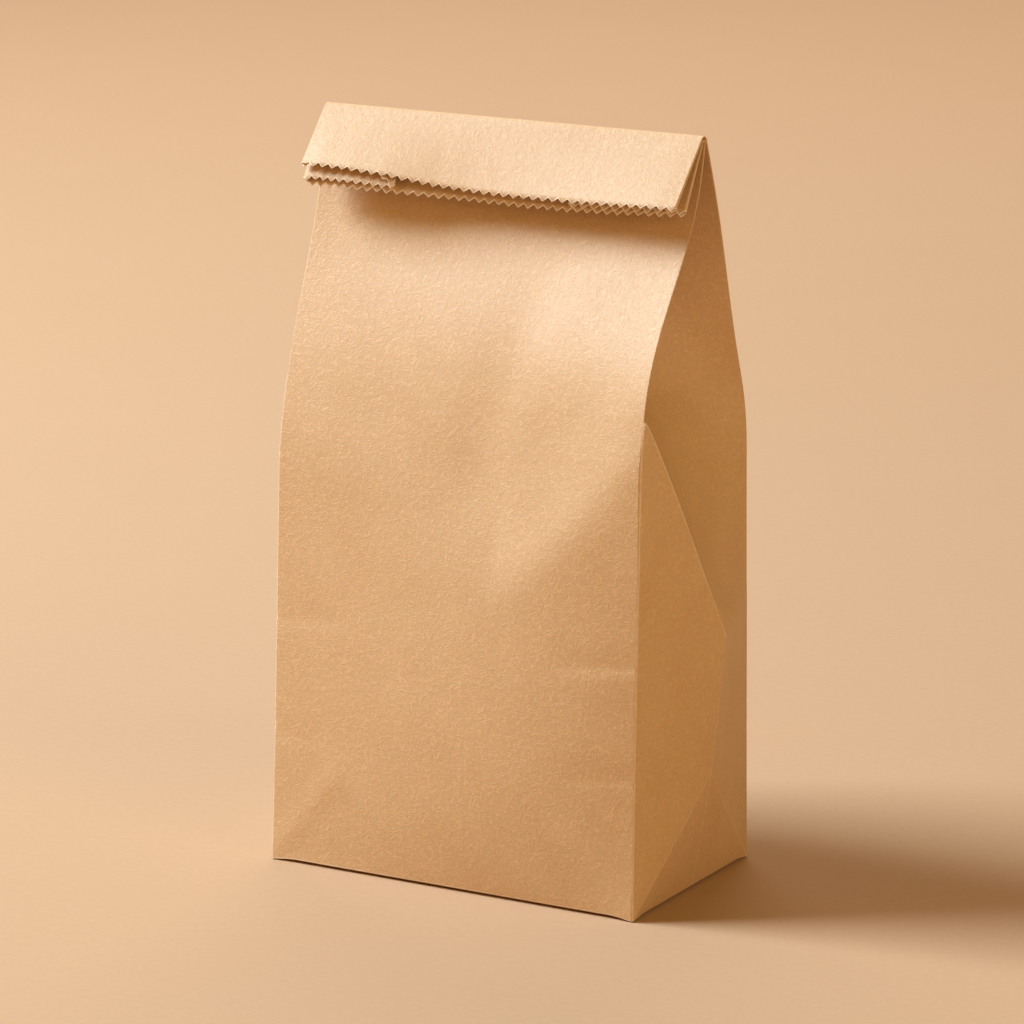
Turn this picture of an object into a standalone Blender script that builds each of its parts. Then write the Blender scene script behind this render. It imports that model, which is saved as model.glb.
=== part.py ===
"""Brown paper lunch bag, standing open and empty, with its mouth folded over once to the front.

The whole bag is one folded and glued sheet of kraft paper, so it is one object. The sheet is
modelled by its outer face, as rings of points around the bag from the base up to the pinked mouth,
and a Solidify modifier gives it the thickness of the paper. Each ring has six straight legs, joined
at six folds: the front panel, the two halves of the right gusset, the back panel and the two halves
of the left gusset. +Z is up, +X is to the right of the front panel, and the front panel faces -Y.
"""

import math
from dataclasses import dataclass

import bmesh
import bpy
from mathutils import Vector

# Sheet
PAPER_THICKNESS = 0.00013
LAYER_GAP = 0.00024
CORNER_ROUNDING = 0.2

# Body
BAG_WIDTH = 0.130
BAG_DEPTH = 0.077
SHOULDER_HEIGHT = 0.148

# Base, whose front flap is lapped over the rest, a little more than one sheet lower
BASE_LAP = 0.006
BASE_LAP_STEP_WIDTH = 0.0004
BASE_LAP_STEP = 1.1 * PAPER_THICKNESS

# Gussets: they belly out low down, and are pushed in above the point where their slanting folds
# start, a little over the crease at which the bag is folded flat, up to just over the shoulders
LOW_BELLY = 0.0068
HIGH_BELLY = 0.0115
PUSH_IN_OVER_FLAT_CREASE = 0.0055
PUSH_IN_OVER_SHOULDER = 0.007

# Panels, away from their side edges: the swell is fullest low down, and at the front to the right
FRONT_HOLLOW = 0.0040
FRONT_SWELL = 0.0028
FRONT_CROWN_SKEW = 1.6
BACK_HOLLOW = 0.0015
BACK_SWELL = 0.0008
BACK_CROWN_SKEW = 1.0
SWELL_HEIGHT_SKEW = 0.55
HOLLOW_FADE = 0.7

# Fold of the mouth
MOUTH_FOLD_HEIGHT = 0.2344
MOUTH_FOLD_DROP = 0.0015
MOUTH_FOLD_SET_BACK = 0.0029
MOUTH_FOLD_SKEW = 0.0062
INNER_FOLD_RADIUS = 0.0005
BACK_FLAP_LENGTH = 0.0246
BACK_FLAP_SLANT = 0.0036
FRONT_FLAP_LENGTH = 0.0241
FRONT_FLAP_SLANT = -0.0012

# Pinked edge of the mouth
TOOTH_PITCH = 0.0035
TOOTH_DEPTH = 0.0017

# Points along a leg and rings up the bag
PANEL_COLUMNS = 12
GUSSET_COLUMNS = 7
LOW_ROWS = 3
UPPER_ROWS = 9
ARC_ROWS = 5
FLAP_ROWS = 2
LAST_FLAP_ROW = 0.7

PAPER_COLOUR = (0.62, 0.39, 0.20, 1.0)
PAPER_ROUGHNESS = 0.85

HALF_WIDTH = BAG_WIDTH / 2
HALF_DEPTH = BAG_DEPTH / 2
LAYERS = ("front", "front_half", "back_half", "back")
LAYER_SPACING = 2 * PAPER_THICKNESS + LAYER_GAP
STACK_DEPTH = (len(LAYERS) - 1) * LAYER_SPACING
FOLD_REACH = LAYER_SPACING
FLAT_CREASE_HEIGHT = BAG_DEPTH
PUSH_IN_HEIGHT = FLAT_CREASE_HEIGHT + PUSH_IN_OVER_FLAT_CREASE
PUSH_IN_TOP = SHOULDER_HEIGHT + PUSH_IN_OVER_SHOULDER


@dataclass(frozen=True)
class Edge:
    """One upright edge of the bag, and how soon the gusset beside it stops bellying out.

    The edge leans in a little up to its shoulder, and sways above that.
    """

    side: int
    facing: int
    shoulder_drop: float
    lean: float
    lean_power: float
    sway: float
    softness: float
    belly_fade: float

    def shoulder(self):
        return SHOULDER_HEIGHT - self.shoulder_drop


@dataclass(frozen=True)
class Fan:
    """Angles from the vertical at which the mouth's layers hang at one side of the flap."""

    back_edge: float
    back_crease: float
    crease: float
    front_crease: float
    front_edge: float
    mouth_gap: float


FRONT_LEFT = Edge(
    side=-1, facing=-1, shoulder_drop=0.0155, lean=0.0070, lean_power=0.86, sway=0.049, softness=0.010,
    belly_fade=1.5,
)
FRONT_RIGHT = Edge(
    side=1, facing=-1, shoulder_drop=-0.002, lean=0.0042, lean_power=1.5, sway=0.093, softness=0.012,
    belly_fade=0.6,
)
BACK_RIGHT = Edge(
    side=1, facing=1, shoulder_drop=0.0007, lean=0.0036, lean_power=0.8, sway=-0.026, softness=0.012,
    belly_fade=1.5,
)
BACK_LEFT = Edge(
    side=-1, facing=1, shoulder_drop=0.006, lean=0.0042, lean_power=0.8, sway=0.0, softness=0.012,
    belly_fade=1.5,
)
FRONT_EDGES = {-1: FRONT_LEFT, 1: FRONT_RIGHT}
BACK_EDGES = {-1: BACK_LEFT, 1: BACK_RIGHT}

FANS = {
    -1: Fan(back_edge=43, back_crease=41, crease=29, front_crease=14, front_edge=19, mouth_gap=10),
    1: Fan(back_edge=42, back_crease=33, crease=30, front_crease=14, front_edge=22, mouth_gap=5),
}


@dataclass(frozen=True)
class Row:
    """One ring: in the body at a height, in the mouth's fold by its turn, or down the flap."""

    height: float
    rise: float = 0.0
    turn: float = 0.0
    drop: float = 0.0
    in_flap: bool = False


def mix(start, end, share):
    return start + (end - start) * share


def ease(share):
    share = min(max(share, 0.0), 1.0)
    return share * share * (3 - 2 * share)


def arch(share, skew):
    """0 at both ends and 1 between them: in the middle, or nearer the end where a skew over 1 puts it."""
    share = min(max(share, 0.0), 1.0)
    return math.sin(math.pi * share / (share + skew * (1 - share)))


def fold_y(x):
    """The middle of the mouth's fold, from front to back."""
    return MOUTH_FOLD_SET_BACK + MOUTH_FOLD_SKEW / 2 * x / HALF_WIDTH


def fold_z(x):
    """The height at which the mouth's fold starts to turn."""
    return MOUTH_FOLD_HEIGHT - MOUTH_FOLD_DROP / 2 * x / HALF_WIDTH


def lean_in(edge, z):
    return edge.lean * (max(z, 0.0) / edge.shoulder()) ** edge.lean_power


def edge_y(edge, z):
    """An upright edge: it leans in a little up to its shoulder, then runs to the mouth's fold."""
    top_z = fold_z(edge.side * HALF_WIDTH)
    top_in = HALF_DEPTH - edge.facing * fold_y(edge.side * HALF_WIDTH) - LAYER_SPACING
    shoulder = edge.shoulder()
    past = (z - shoulder) / edge.softness
    if past <= -1:
        bend = 0.0
    elif past < 1:
        bend = edge.softness * (1 + past) ** 2 / 4
    else:
        bend = z - shoulder
    share = bend / (top_z - shoulder)
    share -= edge.sway * math.sin(2 * math.pi * share)
    above = mix(edge.lean, top_in, share) - lean_in(edge, shoulder + bend)
    return edge.facing * (HALF_DEPTH - lean_in(edge, z) - above)


def gusset_depth(side, z):
    """How far in or out a half gusset of full width reaches between its two upright edges."""
    half_gap = (edge_y(BACK_EDGES[side], z) - edge_y(FRONT_EDGES[side], z)) / 2
    return math.sqrt(max(HALF_DEPTH**2 - half_gap**2, 0.0))


def push_in(z):
    """How far the pushed-in part of a gusset has spread towards the upright edges."""
    return min(max((z - PUSH_IN_HEIGHT) / (PUSH_IN_TOP - PUSH_IN_HEIGHT), 0.0), 1.0)


def belly(z, fade=1.0):
    """How far a gusset stands out beyond the upright edges."""
    if z < HALF_DEPTH:
        return LOW_BELLY * z / HALF_DEPTH
    if z < PUSH_IN_HEIGHT:
        return mix(LOW_BELLY, HIGH_BELLY, (z - HALF_DEPTH) / (PUSH_IN_HEIGHT - HALF_DEPTH))
    return HIGH_BELLY * (1 - push_in(z)) ** fade


def row_z(row, x):
    return mix(row.height, fold_z(x), row.rise) if row.rise else row.height


def crease_point(side, row):
    """The centre crease of a gusset at a row of the body."""
    z = row_z(row, side * HALF_WIDTH)
    middle = (edge_y(BACK_EDGES[side], z) + edge_y(FRONT_EDGES[side], z)) / 2
    x = side * (HALF_WIDTH + belly(z) - push_in(z) * gusset_depth(side, z))
    y = middle + (fold_y(x) - fold_y(side * HALF_WIDTH)) * row.rise
    return Vector((x, y, row_z(row, x)))


def corner_point(edge, row):
    x = edge.side * HALF_WIDTH
    z = row_z(row, x)
    return Vector((x, edge_y(edge, z), z))


def shift(row):
    """How far a layer stands off from the fold that it shares with its neighbour."""
    return LAYER_SPACING / 2 * ease(row.rise)


def relief(x, z, hollow, swell, skew):
    """How far a panel lies back between its side edges: hollow at the shoulder, full below."""
    across = 1 - (x / HALF_WIDTH) ** 2
    if z < SHOULDER_HEIGHT:
        up = ease(z / SHOULDER_HEIGHT) ** 2
    else:
        to_fold = (z - SHOULDER_HEIGHT) / (fold_z(x) - SHOULDER_HEIGHT)
        up = max(1 - to_fold, 0.0) ** HOLLOW_FADE
    full = arch(0.5 + x / BAG_WIDTH, skew) * arch(z / SHOULDER_HEIGHT, SWELL_HEIGHT_SKEW)
    return across * hollow * up - swell * full


def panel_point(edges, facing, row, along):
    """A point of the front or back panel, at a distance along it from its left edge."""
    x = along - HALF_WIDTH
    left = corner_point(edges[-1], row)
    right = corner_point(edges[1], row)
    z = row_z(row, x)
    if facing < 0:
        back_by = relief(x, z, FRONT_HOLLOW, FRONT_SWELL, FRONT_CROWN_SKEW)
    else:
        back_by = relief(x, z, BACK_HOLLOW, BACK_SWELL, BACK_CROWN_SKEW)
    y = mix(left.y, right.y, along / BAG_WIDTH)
    y += facing * (shift(row) - back_by)
    return Vector((x, y, z))


def half_gusset_point(edge, row, along):
    """A point of a half gusset, at a distance from its upright edge towards its centre crease."""
    corner = corner_point(edge, row)
    crease = crease_point(edge.side, row)
    corner.y -= edge.facing * shift(row)
    crease.y += edge.facing * shift(row)
    z = row.height
    spread = push_in(z)
    if row.rise or z >= PUSH_IN_TOP:
        bend_at, bend = HALF_DEPTH, crease
    elif z > PUSH_IN_HEIGHT:
        bend_at = HALF_DEPTH * (1 - spread)
        bend = mix(crease, corner, spread)
        bend.x = edge.side * (HALF_WIDTH + belly(z, edge.belly_fade))
    elif z < HALF_DEPTH:
        bend_at = z
        bend = mix(corner, crease, z / HALF_DEPTH)
        bend.x = crease.x
    else:
        bend_at, bend = HALF_DEPTH, crease
    if along <= bend_at:
        return mix(corner, bend, along / bend_at if bend_at else 0.0)
    return mix(bend, crease, (along - bend_at) / (HALF_DEPTH - bend_at))


def lip_angle(layer, x):
    """The angle from the vertical at which a layer hangs, at its place across the flap."""
    side = 1 if x > 0 else -1
    fan = FANS[side]
    crease_x = HALF_WIDTH - HALF_DEPTH
    if abs(x) < crease_x:
        share = (x + crease_x) / (2 * crease_x)
        left, right = FANS[-1], FANS[1]
        if layer == "back":
            return mix(left.back_crease, right.back_crease, share)
        return mix(left.front_crease, right.front_crease, share)
    share = ease((abs(x) - crease_x) / HALF_DEPTH)
    return {
        "front": mix(fan.front_crease, fan.front_edge, share),
        "front_half": mix(fan.crease, fan.front_edge + fan.mouth_gap, share),
        "back_half": mix(fan.crease, fan.back_edge, share),
        "back": mix(fan.back_crease, fan.back_edge, share),
    }[layer]


def lip_length(layer, x):
    """How long a layer is from the end of its turn to the tips of its teeth."""
    if layer.startswith("back"):
        return BACK_FLAP_LENGTH + BACK_FLAP_SLANT / 2 * x / HALF_WIDTH
    return FRONT_FLAP_LENGTH + FRONT_FLAP_SLANT / 2 * x / HALF_WIDTH


def lip_point(layer, x, row):
    """A point of one layer where it turns over the mouth's fold, and down its flap."""
    radius = INNER_FOLD_RADIUS + LAYERS.index(layer) * LAYER_SPACING
    centre_y = fold_y(x) - STACK_DEPTH / 2 - INNER_FOLD_RADIUS
    whole_turn = math.pi - math.radians(lip_angle(layer, x))
    turn = whole_turn * row.turn
    down = lip_length(layer, x) * row.drop
    y = centre_y + radius * math.cos(turn) - down * math.sin(turn)
    z = fold_z(x) + radius * math.sin(turn) + down * math.cos(turn)
    return Vector((x, y, z))


@dataclass(frozen=True)
class Leg:
    """A straight stretch of every ring, between two folds of the sheet."""

    layer: str
    side: int
    length: float
    columns: int
    to_crease: bool = False

    def point(self, row, along):
        """A point at a distance from the leg's start, in the order of the ring."""
        if self.layer in ("front", "back"):
            from_left = along if self.layer == "front" else self.length - along
            if row.in_flap:
                return lip_point(self.layer, from_left - HALF_WIDTH, row)
            facing = -1 if self.layer == "front" else 1
            edges = FRONT_EDGES if self.layer == "front" else BACK_EDGES
            return panel_point(edges, facing, row, from_left)
        from_edge = along if self.to_crease else self.length - along
        if row.in_flap:
            return lip_point(self.layer, self.side * (HALF_WIDTH - from_edge), row)
        edges = FRONT_EDGES if self.layer == "front_half" else BACK_EDGES
        return half_gusset_point(edges[self.side], row, from_edge)

    def reach(self, row):
        """The distance from a fold at which the leg is straight again."""
        if row.in_flap and self.layer.startswith("front"):
            gap = math.radians(FANS[self.side or 1].mouth_gap) * FRONT_FLAP_LENGTH * row.drop
            return max(FOLD_REACH, gap / 2)
        return FOLD_REACH

    def stations(self, steps):
        """Evenly spaced places along the leg, with one more next to the fold at each end."""
        inner = [self.length * i / steps for i in range(1, steps)]
        return [FOLD_REACH, *inner, self.length - FOLD_REACH]

    def place(self, row, station):
        """A station's place in one row: the leg gives way where the folds at its ends are wide."""
        reach = self.reach(row)
        share = (station - FOLD_REACH) / (self.length - 2 * FOLD_REACH)
        return reach + share * (self.length - 2 * reach)

    def teeth(self):
        return max(1, round(self.length / TOOTH_PITCH))


LEGS = (
    Leg("front", 0, BAG_WIDTH, PANEL_COLUMNS),
    Leg("front_half", 1, HALF_DEPTH, GUSSET_COLUMNS, to_crease=True),
    Leg("back_half", 1, HALF_DEPTH, GUSSET_COLUMNS),
    Leg("back", 0, BAG_WIDTH, PANEL_COLUMNS),
    Leg("back_half", -1, HALF_DEPTH, GUSSET_COLUMNS, to_crease=True),
    Leg("front_half", -1, HALF_DEPTH, GUSSET_COLUMNS),
)


def fold_point(leg, next_leg, row):
    """The outermost point of the fold between two legs."""
    before = leg.point(row, leg.length)
    after = next_leg.point(row, 0.0)
    tip = (before + after) / 2
    if row.rise or row.in_flap:
        return tip
    inward = leg.point(row, leg.length - FOLD_REACH) + next_leg.point(row, FOLD_REACH) - 2 * tip
    return tip + inward * CORNER_ROUNDING


def body_rows():
    """The rings from the base up to where the mouth's fold starts."""
    heights = [HALF_DEPTH * i / GUSSET_COLUMNS for i in range(GUSSET_COLUMNS + 1)]
    span = FLAT_CREASE_HEIGHT - HALF_DEPTH
    heights += [HALF_DEPTH + span * i / LOW_ROWS for i in range(1, LOW_ROWS + 1)]
    span = PUSH_IN_TOP - PUSH_IN_HEIGHT
    heights += [PUSH_IN_HEIGHT + span * i / GUSSET_COLUMNS for i in range(GUSSET_COLUMNS + 1)]
    rows = [Row(height=z) for z in heights]
    rows += [Row(height=PUSH_IN_TOP, rise=i / UPPER_ROWS) for i in range(1, UPPER_ROWS + 1)]
    return rows


def flap_rows():
    """The rings over the mouth's fold and down the flap, short of the pinked edge."""
    rows = [Row(0.0, turn=i / ARC_ROWS, in_flap=True) for i in range(1, ARC_ROWS + 1)]
    rows += [Row(0.0, turn=1.0, drop=LAST_FLAP_ROW * i / FLAP_ROWS, in_flap=True)
             for i in range(1, FLAP_ROWS + 1)]
    return rows


def ring_of(row, mesh, at_teeth=False):
    """The vertices of one ring: for each leg its own, then that of the fold at its end."""
    ring = []
    for leg, next_leg in zip(LEGS, LEGS[1:] + LEGS[:1]):
        stations = leg.stations(leg.teeth() if at_teeth else leg.columns)
        points = [leg.point(row, leg.place(row, station)) for station in stations]
        points.append(fold_point(leg, next_leg, row))
        ring.append([mesh.verts.new(point) for point in points])
    return ring


def root_row():
    return Row(0.0, turn=1.0, drop=1 - TOOTH_DEPTH / FRONT_FLAP_LENGTH, in_flap=True)


def add_teeth(mesh, roots):
    """The pointed teeth, one between each two roots of the pinked edge."""
    tip_row = Row(0.0, turn=1.0, drop=1.0, in_flap=True)
    for index, leg in enumerate(LEGS):
        line = [roots[index - 1][-1], *roots[index]]
        count = leg.teeth()
        for tooth in range(count):
            first = tooth + 1 if tooth else 0
            last = tooth + 2 if tooth < count - 1 else len(line) - 1
            middle = leg.place(tip_row, leg.length * (tooth + 0.5) / count)
            tip = mesh.verts.new(leg.point(tip_row, middle))
            for i in range(first, last):
                mesh.faces.new((line[i], line[i + 1], tip))


def crease_runs_up(leg, row_index):
    """Whether the quads of a half gusset split along the rising or the falling diagonal."""
    rising = row_index < GUSSET_COLUMNS
    return rising == leg.to_crease


def join_rings(mesh, low, high, row_index):
    """Two triangles for each step around the ring, split along the slanting folds."""
    for leg_index, leg in enumerate(LEGS):
        start_low, start_high = low[leg_index - 1][-1], high[leg_index - 1][-1]
        lower = [start_low, *low[leg_index]]
        upper = [start_high, *high[leg_index]]
        rising = crease_runs_up(leg, row_index)
        for i in range(len(lower) - 1):
            a, b, c, d = lower[i], lower[i + 1], upper[i + 1], upper[i]
            triangles = ((a, b, c), (a, c, d)) if rising else ((a, b, d), (b, c, d))
            for triangle in triangles:
                mesh.faces.new(triangle)


def join_roots(mesh, low, high):
    """The strip between the last plain ring and the roots of the teeth."""
    for index, leg in enumerate(LEGS):
        lower = [low[index - 1][-1], *low[index]]
        upper = [high[index - 1][-1], *high[index]]
        lower_at = [0.0, *leg.stations(leg.columns), leg.length]
        upper_at = [0.0, *leg.stations(leg.teeth()), leg.length]
        i = j = 0
        while i < len(lower) - 1 or j < len(upper) - 1:
            step_low = j == len(upper) - 1
            if i < len(lower) - 1 and not step_low:
                step_low = lower_at[i + 1] <= upper_at[j + 1]
            if step_low:
                mesh.faces.new((lower[i], lower[i + 1], upper[j]))
                i += 1
            else:
                mesh.faces.new((lower[i], upper[j + 1], upper[j]))
                j += 1


def close_base(mesh, ring):
    """The glued base: a front flap with slanting ends, lapped over the rest of the base."""
    front, right_front, right_back, back, left_back, left_front = ring
    corner_left, corner_right = left_front[-1], front[-1]
    flap_depth = HALF_DEPTH + BASE_LAP
    seam_y = flap_depth - HALF_DEPTH
    end_x = HALF_WIDTH - flap_depth
    inner = [mesh.verts.new((side * end_x, seam_y, 0.0)) for side in (-1, 1)]
    outer_y = seam_y + BASE_LAP_STEP_WIDTH
    outer_x = end_x + BASE_LAP_STEP_WIDTH / 2
    outer = [mesh.verts.new((side * outer_x, outer_y, BASE_LAP_STEP)) for side in (-1, 1)]
    mesh.faces.new([corner_right, *reversed(front[:-1]), corner_left, inner[0], inner[1]])
    mesh.faces.new([corner_left, outer[0], inner[0]])
    mesh.faces.new([inner[0], outer[0], outer[1], inner[1]])
    mesh.faces.new([inner[1], outer[1], corner_right])
    rest = [*right_front, *right_back, *back, *left_back, *left_front[:-1]]
    mesh.faces.new([corner_left, *reversed(rest), corner_right, outer[1], outer[0]])


def paper_material():
    material = bpy.data.materials.new("kraft_paper")
    material.use_nodes = True
    shader = material.node_tree.nodes["Principled BSDF"]
    shader.inputs["Base Color"].default_value = PAPER_COLOUR
    shader.inputs["Roughness"].default_value = PAPER_ROUGHNESS
    shader.inputs["Metallic"].default_value = 0.0
    return material


def build_bag():
    """The folded sheet as one object."""
    mesh = bmesh.new()
    rows = [*body_rows(), *flap_rows()]
    rings = [ring_of(row, mesh) for row in rows]
    close_base(mesh, rings[0])
    for index, (low, high) in enumerate(zip(rings, rings[1:])):
        join_rings(mesh, low, high, index)
    roots = ring_of(root_row(), mesh, at_teeth=True)
    join_roots(mesh, rings[-1], roots)
    add_teeth(mesh, roots)
    bmesh.ops.triangulate(mesh, faces=[face for face in mesh.faces if len(face.verts) > 3])
    data = bpy.data.meshes.new("paper_bag")
    mesh.to_mesh(data)
    mesh.free()
    data.materials.append(paper_material())
    bag = bpy.data.objects.new("paper_bag", data)
    bpy.context.scene.collection.objects.link(bag)
    sheet = bag.modifiers.new("paper", "SOLIDIFY")
    sheet.thickness = PAPER_THICKNESS
    sheet.offset = -1.0
    sheet.use_quality_normals = True
    return bag


def main():
    for old in list(bpy.data.objects):
        bpy.data.objects.remove(old, do_unlink=True)
    build_bag()


main()
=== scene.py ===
"""Brown paper lunch bag, dressed for its picture: one folded kraft sheet on a pale studio floor.

The sheet is drawn in its flat pattern first: a distance around the bag, leg by leg, and a distance up
it. Rings of points then carry the pattern up the body, over the fold of the mouth and down the flap.
Lengths are in metres. +Z is up, +X is the right of the front panel, and the front panel faces -Y.
"""

import logging
import math
from dataclasses import dataclass, field
from enum import Enum

import bpy
import numpy as np
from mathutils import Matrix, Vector

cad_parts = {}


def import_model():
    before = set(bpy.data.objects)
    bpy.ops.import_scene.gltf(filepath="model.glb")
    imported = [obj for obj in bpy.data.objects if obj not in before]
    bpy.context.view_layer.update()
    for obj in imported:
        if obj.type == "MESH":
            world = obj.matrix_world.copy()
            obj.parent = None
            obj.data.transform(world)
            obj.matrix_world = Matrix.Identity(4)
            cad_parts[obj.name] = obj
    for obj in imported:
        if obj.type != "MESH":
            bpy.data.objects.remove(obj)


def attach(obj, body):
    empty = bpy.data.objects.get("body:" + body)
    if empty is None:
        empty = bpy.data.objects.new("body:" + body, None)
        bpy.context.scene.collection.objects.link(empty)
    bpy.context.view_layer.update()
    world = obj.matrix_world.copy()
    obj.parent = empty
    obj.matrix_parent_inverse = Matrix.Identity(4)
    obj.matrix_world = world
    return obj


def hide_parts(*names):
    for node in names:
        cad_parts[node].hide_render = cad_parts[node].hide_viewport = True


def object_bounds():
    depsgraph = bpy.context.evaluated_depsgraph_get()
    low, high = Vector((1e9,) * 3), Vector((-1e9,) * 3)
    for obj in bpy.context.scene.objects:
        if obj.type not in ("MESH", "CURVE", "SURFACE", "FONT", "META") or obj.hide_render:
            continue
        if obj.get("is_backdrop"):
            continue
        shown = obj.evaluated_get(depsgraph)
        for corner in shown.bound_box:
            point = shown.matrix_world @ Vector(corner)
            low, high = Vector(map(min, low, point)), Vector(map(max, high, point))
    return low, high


log = logging.getLogger("paper_bag")

Number = np.ndarray | float
Socket = bpy.types.NodeSocket
Colour = tuple[float, float, float, float]
Profile = tuple[tuple[float, float], ...]


class Layer(Enum):
    """The four layers of the flattened mouth, from the front panel to the back panel."""

    FRONT = 0
    FRONT_HALF = 1
    BACK_HALF = 2
    BACK = 3

    @property
    def is_panel(self) -> bool:
        """Whether the layer runs across the whole bag."""
        return self in (Layer.FRONT, Layer.BACK)

    @property
    def facing(self) -> int:
        """-1 for the front of the bag and 1 for its back."""
        return -1 if self in (Layer.FRONT, Layer.FRONT_HALF) else 1


def ease(share: Number) -> Number:
    """A smooth step from 0 to 1."""
    share = np.clip(share, 0.0, 1.0)
    return share * share * (3 - 2 * share)


def blend(start: Number, end: Number, share: Number) -> Number:
    """The value a share of the way from start to end."""
    return start + (end - start) * share


def arch(share: Number, skew: float) -> Number:
    """0 at both ends and 1 between them, nearer the end where a skew over 1 puts it."""
    share = np.clip(share, 0.0, 1.0)
    return np.sin(math.pi * share / (share + skew * (1 - share)))


@dataclass(frozen=True)
class UprightEdge:
    """One upright fold between a panel and a gusset."""

    side: int
    facing: int
    shoulder: float
    lean: float
    lean_power: float
    sway: float
    softness: float

    def lean_in(self, z: float) -> float:
        """How far the edge has leant in at a height, below its shoulder."""
        return self.lean * (max(z, 0.0) / self.shoulder) ** self.lean_power


@dataclass(frozen=True)
class SoftFold:
    """A shallow line pressed into the front panel: a valley where depth is over 0, else a ridge."""

    start: tuple[float, float]
    end: tuple[float, float]
    depth: float
    width: float
    upper_width: float = 0.0
    fade_start: float = 0.006
    fade_end: float = 0.006

    def push(self, x: np.ndarray, z: float) -> np.ndarray:
        """How far the line pushes the panel in.

        Args:
            x: places across the panel.
            z: the height of the ring.

        Returns:
            The push at each place.
        """
        a = np.array(self.start)
        run = np.array(self.end) - a
        length = float(np.hypot(*run))
        run /= length
        dx, dz = x - a[0], z - a[1]
        along = dx * run[0] + dz * run[1]
        across = dz * run[0] - dx * run[1]
        width = np.where(across * np.sign(run[0] or 1.0) > 0, self.upper_width or self.width, self.width)
        fades = ease(along / self.fade_start + 0.5) * ease((length - along) / self.fade_end + 0.5)
        return self.depth * np.exp(-((across / width) ** 2)) * fades


@dataclass(frozen=True)
class Row:
    """One ring: in the body at a height, in the mouth's fold by its turn, or down the flap."""

    height: float
    rise: float = 0.0
    turn: float = 0.0
    drop: float = 0.0
    in_flap: bool = False


@dataclass(frozen=True)
class Leg:
    """A stretch of every ring between two folds of the sheet."""

    layer: Layer
    side: int
    start: float
    length: float
    teeth: int
    to_crease: bool = False


@dataclass(frozen=True)
class Columns:
    """The places round every ring: along the flat pattern, on which leg, and with what tooth at the mouth."""

    along: np.ndarray
    leg_of: np.ndarray
    tooth_run: np.ndarray
    tooth_size: np.ndarray
    tip: np.ndarray


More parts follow.
